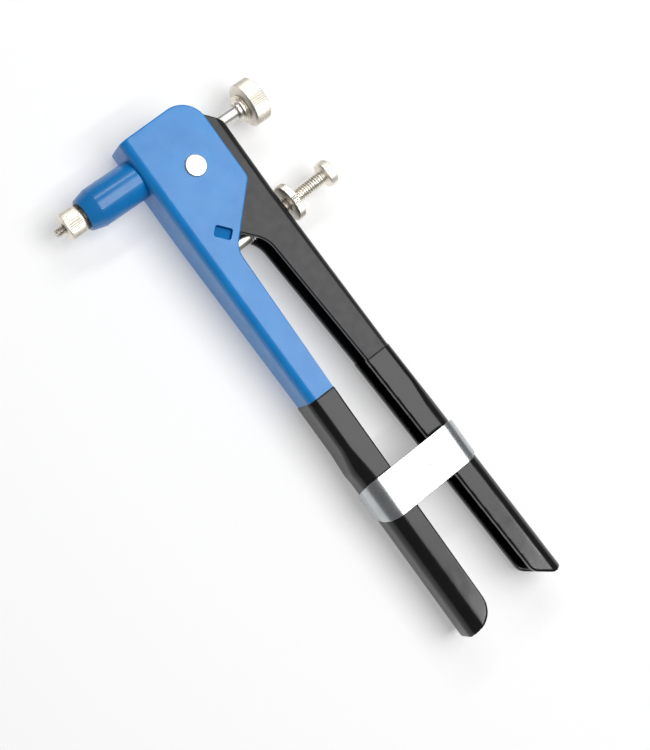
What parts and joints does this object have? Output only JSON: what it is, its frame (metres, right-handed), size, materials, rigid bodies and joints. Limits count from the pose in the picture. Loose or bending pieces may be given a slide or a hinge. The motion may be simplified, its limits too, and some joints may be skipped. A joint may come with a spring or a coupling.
{
  "type": "threaded rivet setter",
  "caption": "Long-handled plier setter for threaded rivets, with a drawn mandrel, screw-in nosepiece, stroke stop screw and a sprung clip round the handles.",
  "frame": {"origin": "centre of the nosepiece's front face, where the mandrel comes out", "axes": "+X out of the nose along the draw axis, +Y down the handles towards their ends, +Z normal to the plane in which the handles move"},
  "size_m": [0.1201, 0.2689, 0.0278],
  "materials": {
    "blue_paint": "gloss",
    "black_paint": "satin",
    "vinyl": "gloss",
    "nickel": "polished",
    "mandrel_steel": "satin",
    "steel": "turned",
    "black_oxide": "satin",
    "bush_bronze": "satin",
    "zinc_sheet": "bright zinc plate"
  },
  "bodies": {
    "frame": {"fixed_channel": "blue_paint", "stop_bar": "blue_paint", "nose_barrel": "blue_paint", "nose_washer": "black_oxide", "pivot_pin": "nickel", "pivot_spacers": "steel", "fixed_grip": "vinyl"},
    "nosepiece": {"nosepiece": "nickel"},
    "pull_block": {"pull_block": "steel", "trunnion_pins": "steel", "thrust_washers": "steel"},
    "draw": {"draw_rod": "steel", "mandrel": "mandrel_steel", "retaining_collar": "steel", "collar_pin": "steel", "knob_collar": "nickel", "draw_knob": "nickel", "knob_pin": "steel"},
    "moving_handle": {"moving_channel": "black_paint", "moving_grip": "vinyl", "pivot_bush": "bush_bronze", "stop_boss": "steel"},
    "stop_screw": {"stop_screw": "nickel"},
    "lock_nut": {"lock_nut": "nickel"},
    "clip": {"handle_clip": "zinc_sheet"}
  },
  "joints": [
    {"name": "handle_open", "type": "hinge", "parent": "frame", "child": "moving_handle", "pos_m": [-0.0607, 0.0105, 0], "axis": [0, 0, 1], "range_deg": [0, 25]},
    {"name": "draw_slide", "type": "slide", "parent": "frame", "child": "pull_block", "axis": [1, 0, 0], "range_m": [0, 0.0047]},
    {"name": "knob_spin", "type": "hinge", "parent": "pull_block", "child": "draw", "pos_m": [-0.1, 0, 0], "axis": [1, 0, 0], "continuous": true},
    {"name": "nosepiece_unscrew", "type": "slide", "parent": "frame", "child": "nosepiece", "axis": [1, 0, 0], "range_m": [0, 0.014]},
    {"name": "stop_screw_travel", "type": "slide", "parent": "moving_handle", "child": "stop_screw", "axis": [-0.9986, -0.0523, 0], "range_m": [-0.0065, 0.008]},
    {"name": "lock_nut_travel", "type": "slide", "parent": "moving_handle", "child": "lock_nut", "axis": [-0.9986, -0.0523, 0], "range_m": [-0.0023, 0.006]},
    {"name": "clip_swing", "type": "hinge", "parent": "frame", "child": "clip", "pos_m": [-0.0375, 0.177, -0.004], "axis": [0, 1, 0], "range_deg": [0, 90]}
  ],
  "couplings": [
    {"joint": "draw_slide", "follows": "handle_open", "m_per_rad": 0.01067},
    {"joint": "clip_swing", "follows": "handle_open", "ratio": 3.6}
  ]
}
